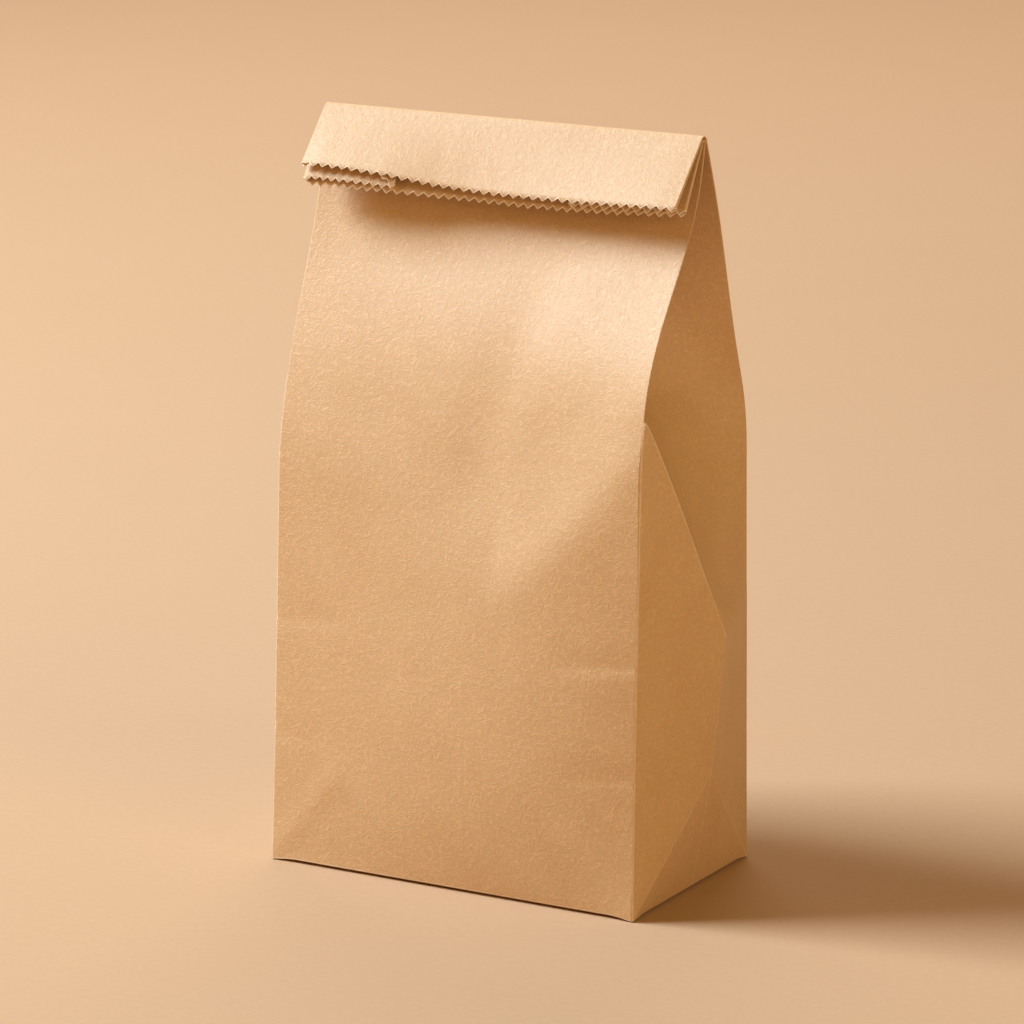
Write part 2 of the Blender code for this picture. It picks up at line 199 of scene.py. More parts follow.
@dataclass
class BagSheet:
    """The folded sheet of the bag: its sizes, its shape ring by ring, and its mesh."""

    paper: float = 0.00013
    width: float = 0.130
    depth: float = 0.077
    shoulder: float = 0.148
    push_in_from: float = 0.0825
    push_in_to: float = 0.155
    low_belly: float = 0.0068
    high_belly: float = 0.0115
    belly_fades: dict[tuple[int, int], float] = field(
        default_factory=lambda: {(-1, -1): 1.5, (1, -1): 0.6, (1, 1): 1.5, (-1, 1): 1.5}
    )
    front_hollow: float = 0.0034
    front_swell: float = 0.0048
    crown_skew: float = 1.9
    height_skew: float = 0.55
    hollow_skew: float = 1.7
    hollow_onset: Profile = ((-65, 112), (-20, 100), (15, 92), (35, 104), (65, 134))
    hollow_run: float = 0.045
    hollow_even_from: float = 0.182
    hollow_even_run: float = 0.022
    swell_reach: float = 1.08
    calm_under_fold: float = 0.035
    back_hollow: float = 0.0015
    back_swell: float = 0.0008
    hollow_fade: float = 0.7
    base_lap: float = 0.006
    fold_height: float = 0.2344
    fold_drop: float = 0.0015
    fold_set_back: float = 0.0029
    fold_skew: float = 0.0062
    fold_radius: float = 0.0005
    spacing: float = 0.0005
    tooth_pitch: float = 0.0034
    tooth_depth: float = 0.00145
    fold_reach: float = 0.00055
    fold_rounds: tuple[float, ...] = (0.00018, 0.00036, 0.00055)
    left_crease_in: float = 0.0052
    base_lift: float = 0.0012
    corner_lift: float = 0.3
    lift_reach: float = 0.008
    base_inset: float = 0.0035
    gusset_slack: float = 0.85
    slack_run: float = 0.012
    slack_top: float = 0.45
    slack_depth: float = 0.72
    nicks: Profile = ((0.079, 0.0008), (0.0435, 0.0006))
    nick_width: float = 0.0008
    base_pattern_at: float = 0.30
    edges: dict[tuple[int, int], UprightEdge] = field(
        default_factory=lambda: {
            (-1, -1): UprightEdge(-1, -1, 0.1325, 0.0070, 0.86, 0.049, 0.010),
            (1, -1): UprightEdge(1, -1, 0.1500, 0.0042, 1.5, 0.093, 0.012),
            (1, 1): UprightEdge(1, 1, 0.1473, 0.0036, 0.8, -0.026, 0.012),
            (-1, 1): UprightEdge(-1, 1, 0.1420, 0.0042, 0.8, 0.0, 0.012),
        }
    )
    back_hang: Profile = (
        (-65, 41.4), (-58.7, 43.4), (-48.4, 43.2), (-36, 41.2), (-27, 38.0), (-18, 34.8), (-8, 33.0), (2, 32.8),
        (12, 33.4), (24, 35.2), (35, 37.3), (46, 39.6), (58, 42.1), (65, 42.6),
    )
    front_hang: Profile = (
        (-65, 29.4), (-50, 34.2), (-36, 34.1), (-20, 29.6), (-5, 27.6), (10, 28.1), (25, 29.8), (40, 30.9), (55, 30.0),
        (65, 27.6),
    )
    left_half_hang: Profile = ((0.0, 36.4), (0.5, 38.6), (1.0, 36.2))
    right_half_hang: Profile = ((0.0, 30.6), (0.5, 32.2), (1.0, 32.7))
    back_drop: float = 0.0246
    back_drop_slant: float = 0.0036
    front_drop: Profile = (
        (-65, 26.1), (-50, 26.8), (-36, 26.9), (-20, 26.1), (-5, 25.9), (10, 26.2), (25, 26.4), (40, 26.1), (55, 25.2),
        (65, 23.9),
    )
    half_short: float = 0.0008
    half_short_run: float = 0.006
    half_behind: float = 1.6
    half_parting: float = 0.76
    soft_folds: tuple[SoftFold, ...] = (
        SoftFold((0.038, 0.0772), (0.066, 0.0797), 0.00030, 0.0018, 0.0050, 0.016, 0.001),
        SoftFold((-0.066, 0.0777), (-0.040, 0.0795), 0.00018, 0.0018, 0.0050, 0.001, 0.016),
        SoftFold((0.044, 0.0427), (0.066, 0.0446), 0.00018, 0.0018, 0.0045, 0.014, 0.001),
        SoftFold((-0.066, 0.0402), (-0.047, 0.0412), 0.00013, 0.0018, 0.0045, 0.001, 0.014),
        SoftFold((0.003, 0.122), (0.022, 0.196), 0.00070, 0.0090, 0.0120, 0.030, 0.030),
        SoftFold((-0.066, 0.000), (-0.040, 0.033), -0.00028, 0.0040, 0.0040, 0.010, 0.020),
        SoftFold((0.066, 0.000), (0.043, 0.026), -0.00034, 0.0040, 0.0040, 0.008, 0.018),
        SoftFold((0.066, 0.144), (0.022, 0.098), -0.00080, 0.0160, 0.0080, 0.012, 0.040),
    )

    def __post_init__(self) -> None:
        """Lays out the six legs of the ring in the flat pattern."""
        half = self.depth / 2
        plan = (
            (Layer.FRONT, 0, self.width, False),
            (Layer.FRONT_HALF, 1, half, True),
            (Layer.BACK_HALF, 1, half, False),
            (Layer.BACK, 0, self.width, False),
            (Layer.BACK_HALF, -1, half, True),
            (Layer.FRONT_HALF, -1, half, False),
        )
        self.legs: list[Leg] = []
        start = 0.0
        for layer, side, length, to_crease in plan:
            teeth = max(1, round(length / self.tooth_pitch))
            self.legs.append(Leg(layer, side, start, length, teeth, to_crease))
            start += length

    @property
    def half_width(self) -> float:
        """Half the width of the front panel."""
        return self.width / 2

    @property
    def half_depth(self) -> float:
        """Half the depth of the bag, which is the width of a half gusset."""
        return self.depth / 2

    @property
    def marks(self) -> int:
        """How many rings a slanting crease crosses."""
        return len(self.stations(self.legs[1])) + 2

    def fold_y(self, x: Number) -> Number:
        """The middle of the mouth's fold, from front to back."""
        return self.fold_set_back + self.fold_skew / 2 * x / self.half_width

    def fold_z(self, x: Number) -> Number:
        """The height at which the mouth's fold starts to turn."""
        return self.fold_height - self.fold_drop / 2 * x / self.half_width

    def row_z(self, row: Row, x: Number) -> Number:
        """The height of a ring at a place across the bag."""
        return blend(row.height, self.fold_z(x), row.rise) if row.rise else row.height

    def edge_y(self, edge: UprightEdge, z: float) -> float:
        """An upright edge: it leans in a little up to its shoulder, then runs to the mouth's fold.

        Args:
            edge: the edge.
            z: a height on it.

        Returns:
            Its place from front to back.
        """
        corner_x = edge.side * self.half_width
        top_z = self.fold_z(corner_x)
        top_in = self.half_depth - edge.facing * self.fold_y(corner_x) - self.spacing
        past = (z - edge.shoulder) / edge.softness
        if past <= -1:
            bend = 0.0
        elif past < 1:
            bend = edge.softness * (1 + past) ** 2 / 4
        else:
            bend = z - edge.shoulder
        share = bend / (top_z - edge.shoulder)
        share -= edge.sway * math.sin(2 * math.pi * share)
        above = blend(edge.lean, top_in, share) - edge.lean_in(edge.shoulder + bend)
        return edge.facing * (self.half_depth - edge.lean_in(z) - above)

    def corner(self, edge: UprightEdge, row: Row) -> np.ndarray:
        """The point of an upright edge on a ring."""
        x = edge.side * self.half_width
        z = float(self.row_z(row, x))
        return np.array((x, self.edge_y(edge, z), z))

    def gusset_depth(self, side: int, z: float) -> float:
        """How far in or out a half gusset of full width reaches between its two upright edges."""
        half_gap = (self.edge_y(self.edges[side, 1], z) - self.edge_y(self.edges[side, -1], z)) / 2
        return math.sqrt(max(self.half_depth**2 - half_gap**2, 0.0))

    def push_in(self, z: float) -> float:
        """How far the pushed-in part of a gusset has spread towards the upright edges."""
        return min(max((z - self.push_in_from) / (self.push_in_to - self.push_in_from), 0.0), 1.0)

    def belly(self, z: float, fade: float = 1.0) -> float:
        """How far a gusset stands out beyond the upright edges."""
        if z < self.half_depth:
            return self.low_belly * z / self.half_depth
        if z < self.push_in_from:
            return blend(self.low_belly, self.high_belly, (z - self.half_depth) / (self.push_in_from - self.half_depth))
        return self.high_belly * (1 - self.push_in(z)) ** fade

    def crease(self, side: int, row: Row) -> np.ndarray:
        """The centre crease of a gusset on a ring."""
        z = float(self.row_z(row, side * self.half_width))
        middle = (self.edge_y(self.edges[side, 1], z) + self.edge_y(self.edges[side, -1], z)) / 2
        short = 1 - (self.left_crease_in / self.half_depth) * row.rise * (side < 0)
        x = side * (self.half_width + self.belly(z) - self.push_in(z) * self.gusset_depth(side, z) * short)
        y = middle + (self.fold_y(x) - self.fold_y(side * self.half_width)) * row.rise
        return np.array((x, y, self.row_z(row, x)))

    def panel_points(self, layer: Layer, row: Row, x: np.ndarray) -> np.ndarray:
        """Points of the front or the back panel, in the body.

        Args:
            layer: the panel.
            row: the ring.
            x: places across the panel.

        Returns:
            One point for each place.
        """
        facing = layer.facing
        left = self.corner(self.edges[-1, facing], row)
        right = self.corner(self.edges[1, facing], row)
        z = self.row_z(row, x) + 0 * x
        hollow, swell = (self.front_hollow, self.front_swell) if facing < 0 else (self.back_hollow, self.back_swell)
        across = 1 - (x / self.half_width) ** 2
        to_fold = np.clip((z - self.shoulder) / (self.fold_z(x) - self.shoulder), 0.0, 1.0)
        up = (1 - to_fold) ** self.hollow_fade
        if facing < 0:
            onset = np.interp(x * 1000, *np.array(self.hollow_onset).T) / 1000
            up = up * ease((z - onset) / self.hollow_run)
            even = ease((z - self.hollow_even_from) / self.hollow_even_run)
            across = blend(arch(0.5 + x / self.width, self.hollow_skew), across, even)
            bulge = arch(z / (self.shoulder * self.swell_reach), self.height_skew)
            bulge = bulge * arch(0.5 + x / self.width, self.crown_skew)
        else:
            up = up * ease(z / self.shoulder) ** 2
            bulge = across * arch(z / self.shoulder, self.height_skew)
        inward = across * hollow * up - swell * bulge
        if facing < 0:
            calm = ease((self.fold_z(x) - z) / self.calm_under_fold)
            for line in self.soft_folds:
                inward = inward + line.push(x, float(np.mean(z))) * calm
        share = (x + self.half_width) / self.width
        shift = self.spacing / 2 * ease(row.rise)
        y = blend(left[1], right[1], share) + facing * (shift - inward)
        x = blend(left[0], right[0], share)
        return np.stack((x, y, z), -1)

    def half_gusset_points(self, leg: Leg, row: Row, from_edge: np.ndarray) -> np.ndarray:
        """Points of a half gusset, in the body.

        Args:
            leg: the half gusset.
            row: the ring.
            from_edge: distances from its upright edge towards its centre crease.

        Returns:
            One point for each distance.
        """
        edge = self.edges[leg.side, leg.layer.facing]
        corner, crease = self.corner(edge, row), self.crease(leg.side, row)
        shift = edge.facing * self.spacing / 2 * ease(row.rise)
        corner[1] -= shift
        crease[1] += shift
        z, half = row.height, self.half_depth
        spread = self.push_in(z)
        bend_at, bend = half, crease
        if not row.rise and self.push_in_from < z < self.push_in_to:
            bend_at = half * (1 - spread)
            bend = blend(crease, corner, spread)
            bend[0] = edge.side * (self.half_width + self.belly(z, self.belly_fades[edge.side, edge.facing]))
        elif not row.rise and z < half:
            bend_at = z
            bend = blend(corner, crease, z / half)
            bend[0] = crease[0]
        near = blend(corner, bend, (from_edge / max(bend_at, 1e-9))[:, None])
        far = blend(bend, crease, ((from_edge - bend_at) / max(half - bend_at, 1e-9))[:, None])
        points = np.where((from_edge <= bend_at)[:, None], near, far)
        slack = self.slack(row)
        if slack == 0 or leg.side < 0:
            return points
        start, end = self.hollow_ends(leg.side, row)
        around = from_edge if edge.facing < 0 else self.depth - from_edge
        share = np.clip((around - half * (1 - spread)) / (half * (1 + spread)), 0.0, 1.0)[:, None]
        middle = blend((start + end) / 2, crease, self.slack_depth)
        tip = 2 * middle - (start + end) / 2
        soft = (1 - share) ** 2 * start + 2 * share * (1 - share) * tip + share**2 * end
        return blend(points, soft, np.where(share > 0, slack, 0.0))

    def slack(self, row: Row) -> float:
        """How far the pushed-in part of a gusset is rounded to one soft hollow on a ring."""
        if row.in_flap or row.height < self.push_in_from:
            return 0.0
        grown = ease((row.height - self.push_in_from) / self.slack_run)
        return self.gusset_slack * float(grown * (1 - ease(row.rise / self.slack_top)))

    def hollow_ends(self, side: int, row: Row) -> tuple[np.ndarray, np.ndarray]:
        """Where the pushed-in part of a gusset starts, at its front slanting fold, and where it ends.

        Args:
            side: -1 for the left gusset and 1 for the right one.
            row: the ring.

        Returns:
            The two points.
        """
        front, back = self.corner(self.edges[side, -1], row), self.corner(self.edges[side, 1], row)
        start = blend(self.crease(side, row), front, self.push_in(row.height))
        if row.rise == 0:
            start[0] = side * (self.half_width + self.belly(row.height, self.belly_fades[side, -1]))
        return start, back

    def crease_place(self, side: int) -> float:
        """How far from the upright edge a gusset's centre crease lies at the mouth."""
        return self.half_depth - (self.left_crease_in if side < 0 else 0.0)

    def hang(self, leg: Leg, x: np.ndarray) -> np.ndarray:
        """The angle from the vertical at which a layer hangs at its places across the flap.

        Args:
            leg: the layer's leg.
            x: places across the flap.

        Returns:
            The angles in radians.
        """
        back = np.interp(x * 1000, *np.array(self.back_hang).T)
        front = np.interp(x * 1000, *np.array(self.front_hang).T)
        if leg.layer is Layer.BACK:
            return np.radians(back)
        if leg.layer is Layer.FRONT:
            return np.radians(front)
        share = (self.half_width - np.abs(x)) / self.crease_place(leg.side)
        profile = self.left_half_hang if leg.side < 0 else self.right_half_hang
        middle = np.interp(share, *np.array(profile).T)
        if leg.layer is Layer.FRONT_HALF:
            return np.radians(middle)
        return np.radians(blend(back - self.half_behind, profile[-1][1], self.parting(share)))

    def parting(self, share: np.ndarray) -> np.ndarray:
        """How far a rear half gusset has left the back layer, from its upright edge to its crease."""
        return ease((share - self.half_parting) / (1 - self.half_parting))

    def flap_length(self, leg: Leg, x: np.ndarray) -> np.ndarray:
        """How far a layer reaches past the mouth's fold, to the tips of its teeth.

        Args:
            leg: the layer's leg.
            x: places across the flap.

        Returns:
            The lengths.
        """
        back = self.back_drop + self.back_drop_slant / 2 * x / self.half_width
        if leg.layer is Layer.BACK:
            return back
        front = np.interp(x * 1000, *np.array(self.front_drop).T) / 1000
        if leg.layer is Layer.FRONT:
            return front
        from_edge = self.half_width - np.abs(x)
        short = self.half_short * ease(from_edge / self.half_short_run)
        half = front - short
        if leg.layer is Layer.FRONT_HALF:
            return half
        return blend(back - 2 * short, half, self.parting(from_edge / self.crease_place(leg.side)))

    def flap_points(self, leg: Leg, row: Row, x: np.ndarray) -> np.ndarray:
        """Points of one layer where it turns over the mouth's fold, and down its flap.

        Args:
            leg: the layer's leg.
            row: the ring.
            x: places across the flap.

        Returns:
            One point for each place.
        """
        radius = self.fold_radius + leg.layer.value * self.spacing
        centre_y = self.fold_y(x) - 1.5 * self.spacing - self.fold_radius
        turn = (math.pi - self.hang(leg, x)) * row.turn
        down = (self.flap_length(leg, x) - self.tooth_depth) * row.drop
        y = centre_y + radius * np.cos(turn) - down * np.sin(turn)
        z = self.fold_z(x) + radius * np.sin(turn) + down * np.cos(turn)
        return np.stack((x, y, z), -1)

    def stations(self, leg: Leg) -> np.ndarray:
        """Places along a leg: closely set by its folds, and two for each tooth between them.

        Args:
            leg: the leg.

        Returns:
            Distances from the leg's start, without its two folds.
        """
        step = leg.length / (2 * leg.teeth)
        by_fold = [*self.fold_rounds, 1.4 * self.fold_reach]
        inner = [i * step for i in range(1, 2 * leg.teeth)]
        return np.array([*by_fold, *inner, *(leg.length - r for r in reversed(by_fold))])

    def reach(self, fold: int, row: Row) -> float:
        """How far the rounding of the fold that starts a leg reaches along its two legs on a ring.

        Args:
            fold: the number of the leg that the fold starts.
            row: the ring.

        Returns:
            The reach.
        """
        before, after = self.legs[fold - 1], self.legs[fold]
        if not row.in_flap or before.layer.facing + after.layer.facing >= 0:
            return self.fold_reach
        side = before.side or after.side
        half = after if before.layer is Layer.FRONT else before
        corner = np.array([side * self.half_width])
        gap = float((self.hang(half, corner) - self.hang(self.legs[0], corner))[0])
        return max(self.fold_reach, gap * float(self.flap_length(half, corner)[0]) * row.drop / 2)

    def leg_points(self, leg: Leg, row: Row, along: np.ndarray) -> np.ndarray:
        """Points of a leg on a ring, at distances from the leg's start, in the order of the ring."""
        if leg.layer.is_panel:
            x = along - self.half_width if leg.layer is Layer.FRONT else self.half_width - along
            return self.flap_points(leg, row, x) if row.in_flap else self.panel_points(leg.layer, row, x)
        from_edge = along if leg.to_crease else leg.length - along
        if row.in_flap:
            scale = self.crease_place(leg.side) / self.half_depth
            return self.flap_points(leg, row, leg.side * (self.half_width - from_edge * scale))
        return self.half_gusset_points(leg, row, from_edge)

    def ring(self, row: Row) -> np.ndarray:
        """All points of a ring: for each leg the fold that starts it, and then its own.

        Args:
            row: the ring.

        Returns:
            The points, in order around the bag.
        """
        base = self.fold_reach
        reaches = [self.reach(fold, row) for fold in range(len(self.legs))]
        close = np.array(self.fold_rounds) / base
        count = len(close)
        points = []
        for index, leg in enumerate(self.legs):
            first, last = reaches[index], reaches[(index + 1) % len(reaches)]
            nominal = self.stations(leg)
            straight = (leg.length - first - last) / (leg.length - 2 * base)
            own = self.leg_points(leg, row, first + (nominal - base) * straight)
            own[:count] = self.rounded(index, row, first, close)
            own[-count:] = self.rounded((index + 1) % len(reaches), row, last, -close[::-1])
            points += [self.rounded(index, row, first, np.array([0.0])), own]
        return np.concatenate(points)

    def rounded(self, fold: int, row: Row, reach: float, share: np.ndarray) -> np.ndarray:
        """Points of a rounded fold.

        Args:
            fold: the number of the leg that the fold starts.
            row: the ring.
            reach: how far the rounding reaches along each leg.
            share: places from -1, where the rounding starts, to 1, where it ends.

        Returns:
            One point for each place.
        """
        before, after = self.legs[fold - 1], self.legs[fold]
        first = self.leg_points(before, row, np.array([before.length - reach]))[0]
        last = self.leg_points(after, row, np.array([reach]))[0]
        tip = self.leg_points(before, row, np.array([before.length]))[0]
        tip = (tip + self.leg_points(after, row, np.array([0.0]))[0]) / 2
        outward = tip - (first + last) / 2
        size = float(np.linalg.norm(outward))
        if size > 1e-9:
            tip = tip + outward / size * (reach - self.fold_reach)
        if not row.in_flap and before.layer.is_panel != after.layer.is_panel:
            height = float(tip[2])
            press = sum(deep * math.exp(-(((height - z) / self.nick_width) ** 2)) for z, deep in self.nicks)
            tip = tip - outward / max(float(np.linalg.norm(outward)), 1e-9) * press
        t = ((share + 1) / 2)[:, None]
        return (1 - t) ** 2 * first + 2 * t * (1 - t) * tip + t**2 * last

    def rows(self) -> list[Row]:
        """The rings, from the base to the roots of the teeth."""
        half = self.half_depth
        marks = [0.0, *self.stations(self.legs[1]), half]
        middle = [half + (self.push_in_from - half) * i / 20 for i in range(1, 20)]
        pressed = [z + step * self.nick_width for z, _ in reversed(self.nicks) for step in range(-2, 3)]
        middle = sorted([z for z in middle if min(abs(z - p) for p in pressed) > 0.0009] + pressed)
        oblique = [self.push_in_to - (self.push_in_to - self.push_in_from) * m / half for m in reversed(marks)]
        rows = [Row(height=z) for z in [*marks, *middle, *oblique]]
        rows += [Row(height=self.push_in_to, rise=i / 40) for i in range(1, 41)]
        rows += [Row(0.0, turn=i / 12, in_flap=True) for i in range(1, 13)]
        drops = [*(i / 14 for i in range(1, 14)), 0.965, 1.0]
        rows += [Row(0.0, turn=1.0, drop=d, in_flap=True) for d in drops]
        return rows

    def flat_heights(self, rows: list[Row], rings: np.ndarray) -> dict[bool, np.ndarray]:
        """The height of each ring in the flat pattern: along the middle of a panel, and up a gusset.

        Args:
            rows: the rings' descriptions.
            rings: their points.

        Returns:
            The heights for the panels, under True, and for the gussets, under False.
        """
        middle = 1 + len(self.stations(self.legs[0])) // 2
        steps = np.linalg.norm(np.diff(rings[:, middle], axis=0), axis=1)
        panel = np.concatenate([[0.0], np.cumsum(steps)])
        body = sum(not row.in_flap for row in rows)
        gusset = panel - panel[body - 1] + self.fold_height
        gusset[:body] = [self.row_z(row, self.half_width) for row in rows[:body]]
        return {True: panel, False: gusset}

    def lift_rim(self, rings: np.ndarray) -> None:
        """Lifts the bag's bottom edge a little off the floor, less at its corners."""
        off_corner = np.hypot(self.half_width - np.abs(rings[:, :, 0]), self.half_depth - np.abs(rings[:, :, 1]))
        lift = self.base_lift * blend(self.corner_lift, 1.0, ease(off_corner / self.lift_reach))
        rings[:, :, 2] += lift * np.clip(1 - rings[:, :, 2] / self.lift_reach, 0.0, 1.0) ** 2

    def columns(self) -> Columns:
        """The places round a ring, leg by leg, with the teeth that they carry.

        Returns:
            The places.
        """
        along, leg_of, run = [], [], []
        for index, leg in enumerate(self.legs):
            places = np.array([0.0, *self.stations(leg)])
            along.append(leg.start + places)
            leg_of.append(np.full(len(places), index))
            run.append(places / leg.length * leg.teeth)
        along, leg_of, run = (np.concatenate(part) for part in (along, leg_of, run))
        plain = np.array([leg.layer is Layer.BACK for leg in self.legs])[leg_of]
        left_end = self.legs[3].start + self.legs[3].length - along
        size = np.where(plain, blend(0.25, 1.0, ease((left_end - 0.001) / 0.003)), 1.0)
        return Columns(along, leg_of, run, size, (1 - np.abs(2 * (run % 1.0) - 1)) * size * self.tooth_depth)

    def wall_faces(
        self, heights: dict[bool, np.ndarray], columns: Columns, oblique: int
    ) -> tuple[list[list[int]], list[tuple[float, float]]]:
        """The faces between the rings, split along the slanting creases of the gussets.

        Args:
            heights: the rings' heights in the flat pattern.
            columns: the places round a ring.
            oblique: the ring at which the upper slanting creases start.

        Returns:
            The faces, and the place in the flat pattern of each of their corners.
        """
        faces, corners, marks = [], [], self.marks
        around, last_ring = len(columns.along), len(heights[True]) - 2
        for r in range(last_ring + 1):
            for c in range(around):
                leg = self.legs[columns.leg_of[c]]
                n = (c + 1) % around
                inside = columns.leg_of[n] == columns.leg_of[c]
                u0, u1 = columns.along[c], columns.along[n] if inside else leg.start + leg.length
                v = heights[leg.layer.is_panel]
                here, ahead = (columns.tip[c], columns.tip[n]) if r == last_ring else (0.0, 0.0)
                quad = (
                    (r * around + c, (u0, v[r])),
                    (r * around + n, (u1, v[r])),
                    ((r + 1) * around + n, (u1, v[r + 1] + ahead)),
                    ((r + 1) * around + c, (u0, v[r + 1] + here)),
                )
                low, high = r < marks - 1, oblique <= r < oblique + marks - 1
                if leg.layer.is_panel or not (low or high):
                    parts = (quad,)
                elif leg.to_crease == low:
                    parts = ((quad[0], quad[1], quad[2]), (quad[0], quad[2], quad[3]))
                else:
                    parts = ((quad[0], quad[1], quad[3]), (quad[1], quad[2], quad[3]))
                for part in parts:
                    faces.append([corner[0] for corner in part])
                    corners += [corner[1] for corner in part]
        return faces, corners

    def build(self, name: str, finishes: list[bpy.types.Material]) -> bpy.types.Object:
        """Builds the open sheet, with its flat pattern as a UV map and marks for its pinked edge.

        Args:
            name: the piece's name.
            finishes: the paper and its cut edge.

        Returns:
            The piece, as the outer face of the sheet.
        """
        rows = self.rows()
        rings = np.stack([self.ring(row) for row in rows])
        self.lift_rim(rings)
        heights = self.flat_heights(rows, rings)
        columns = self.columns()
        count, around = rings.shape[:2]
        oblique = next(i for i, row in enumerate(rows) if row.height >= self.push_in_from)
        faces, corners = self.wall_faces(heights, columns, oblique)
        points = [Vector(p) for p in rings.reshape(-1, 3)]
        base_faces, base_points = self.base_faces(columns.leg_of, points[:around])
        base_at = [*points[:around], *base_points]
        for face in base_faces:
            faces.append([i if i < around else i - around + len(points) for i in face])
            places = [base_at[i] for i in face]
            corners += [(p.x + self.half_width, p.y + self.half_depth + self.base_pattern_at) for p in places]
        mesh = bpy.data.meshes.new(name)
        mesh.from_pydata(points + base_points, [], faces)
        pattern = mesh.uv_layers.new(name="sheet")
        pattern.data.foreach_set("uv", np.array(corners, np.float32).ravel())
        self.mark_mouth(mesh, rings, heights[True], columns)
        mesh.polygons.foreach_set("use_smooth", [True] * (len(faces) - len(base_faces)) + [False] * len(base_faces))
        self.mark_sharp(mesh, around, columns.leg_of, oblique)
        for finish in finishes:
            mesh.materials.append(finish)
        piece = shown(name, mesh)
        log.info("%s: %d rings of %d points, %d faces", name, count, around, len(faces))
        return piece

    def mark_mouth(self, mesh: bpy.types.Mesh, rings: np.ndarray, heights: np.ndarray, columns: Columns) -> None:
        """Marks the mouth's edge for the pinking: where each point lies along it, and which way is down.

        Args:
            mesh: the sheet.
            rings: its points, ring by ring.
            heights: the rings' heights in the flat pattern.
            columns: the places round a ring.
        """
        count, around = rings.shape[:2]
        total = len(mesh.vertices)
        down = rings[-1] - rings[-2]
        down /= np.linalg.norm(down, axis=1)[:, None]
        edge = slice((count - 1) * around, count * around)
        values = {
            "mouth_edge": np.zeros(total),
            "mouth_run": np.zeros(total),
            "mouth_size": np.zeros(total),
            "cut_distance": np.full(total, 0.02),
        }
        values["mouth_edge"][edge] = 1.0
        values["mouth_run"][edge] = columns.tooth_run
        values["mouth_size"][edge] = columns.tooth_size
        for r in range(count):
            gap = heights[-1] - heights[r]
            if gap < 0.01:
                values["cut_distance"][r * around : (r + 1) * around] = gap + columns.tip if r < count - 1 else 0.0
        for name, value in values.items():
            mesh.attributes.new(name, "FLOAT", "POINT").data.foreach_set("value", value.astype(np.float32))
        vectors = np.zeros((total, 3), np.float32)
        vectors[edge] = down
        mesh.attributes.new("mouth_down", "FLOAT_VECTOR", "POINT").data.foreach_set("vector", vectors.ravel())

    def base_faces(self, leg_of: np.ndarray, rim: list[Vector]) -> tuple[list[list[int]], list[Vector]]:
        """The glued base: a rim that curves down to the floor, and a front flap lapped over the rest.

        Args:
            leg_of: the leg of each point of the lowest ring.
            rim: the points of the lowest ring.

        Returns:
            The faces, as indices into the lowest ring and then the base's own points, and those points.
        """
        around = len(rim)
        own = []
        for share in (0.35, 1.0):
            inset, low = self.base_inset * share, (1 - share) ** 2
            in_x, in_y = 1 - inset / self.half_width, 1 - inset / self.half_depth
            own += [Vector((p.x * in_x, p.y * in_y, p.z * low)) for p in rim]
        faces = []
        for ring in range(2):
            for c in range(around):
                n = (c + 1) % around
                outer, inner = ring * around, (ring + 1) * around
                faces.append([outer + c, inner + c, inner + n, outer + n])
        first = [int(np.argmax(leg_of == i)) for i in range(6)]
        corner_left, corner_right = 2 * around + first[0], 2 * around + first[1]
        end_x = self.half_width - self.half_depth - self.base_lap
        step_y, step_x, step_z = self.base_lap + 0.0004, end_x + 0.0002, 1.1 * self.paper
        own += [Vector((-end_x, self.base_lap, 0)), Vector((end_x, self.base_lap, 0))]
        own += [Vector((-step_x, step_y, step_z)), Vector((step_x, step_y, step_z))]
        left, right, outer_left, outer_right = (3 * around + i for i in range(4))
        front = list(range(corner_left + 1, corner_right))
        rest = list(range(corner_right + 1, 3 * around))
        faces += [
            [corner_right, *reversed(front), corner_left, left, right],
            [corner_left, outer_left, left],
            [left, outer_left, outer_right, right],
            [right, outer_right, corner_right],
            [corner_left, *reversed(rest), corner_right, outer_right, outer_left],
        ]
        return faces, own

    def mark_sharp(self, mesh: bpy.types.Mesh, around: int, leg_of: np.ndarray, oblique: int) -> None:
        """Marks the crisp slanting creases of the gussets as sharp edges.

        Args:
            mesh: the sheet.
            around: how many points a ring has.
            leg_of: the leg of each of them.
            oblique: the ring at which the upper slanting creases start.
        """
        crisp, marks = set(), self.marks
        for index, leg in enumerate(self.legs):
            if leg.layer.is_panel:
                continue
            start = int(np.argmax(leg_of == index))
            for k in range(marks - 1):
                low = (k, start + k, k + 1, start + k + 1)
                high = (oblique + k, start + marks - 1 - k, oblique + k + 1, start + marks - 2 - k)
                if not leg.to_crease:
                    low = (k, start + marks - 1 - k, k + 1, start + marks - 2 - k)
                    high = (oblique + k, start + k, oblique + k + 1, start + k + 1)
                crisp.add(frozenset((low[0] * around + low[1] % around, low[2] * around + low[3] % around)))
                if leg.layer is Layer.FRONT_HALF:
                    crisp.add(frozenset((high[0] * around + high[1] % around, high[2] * around + high[3] % around)))
        flags = [frozenset(edge.vertices) in crisp for edge in mesh.edges]
        mesh.attributes.new("sharp_edge", "BOOLEAN", "EDGE").data.foreach_set("value", flags)
        log.info("%d sharp edges", sum(flags))


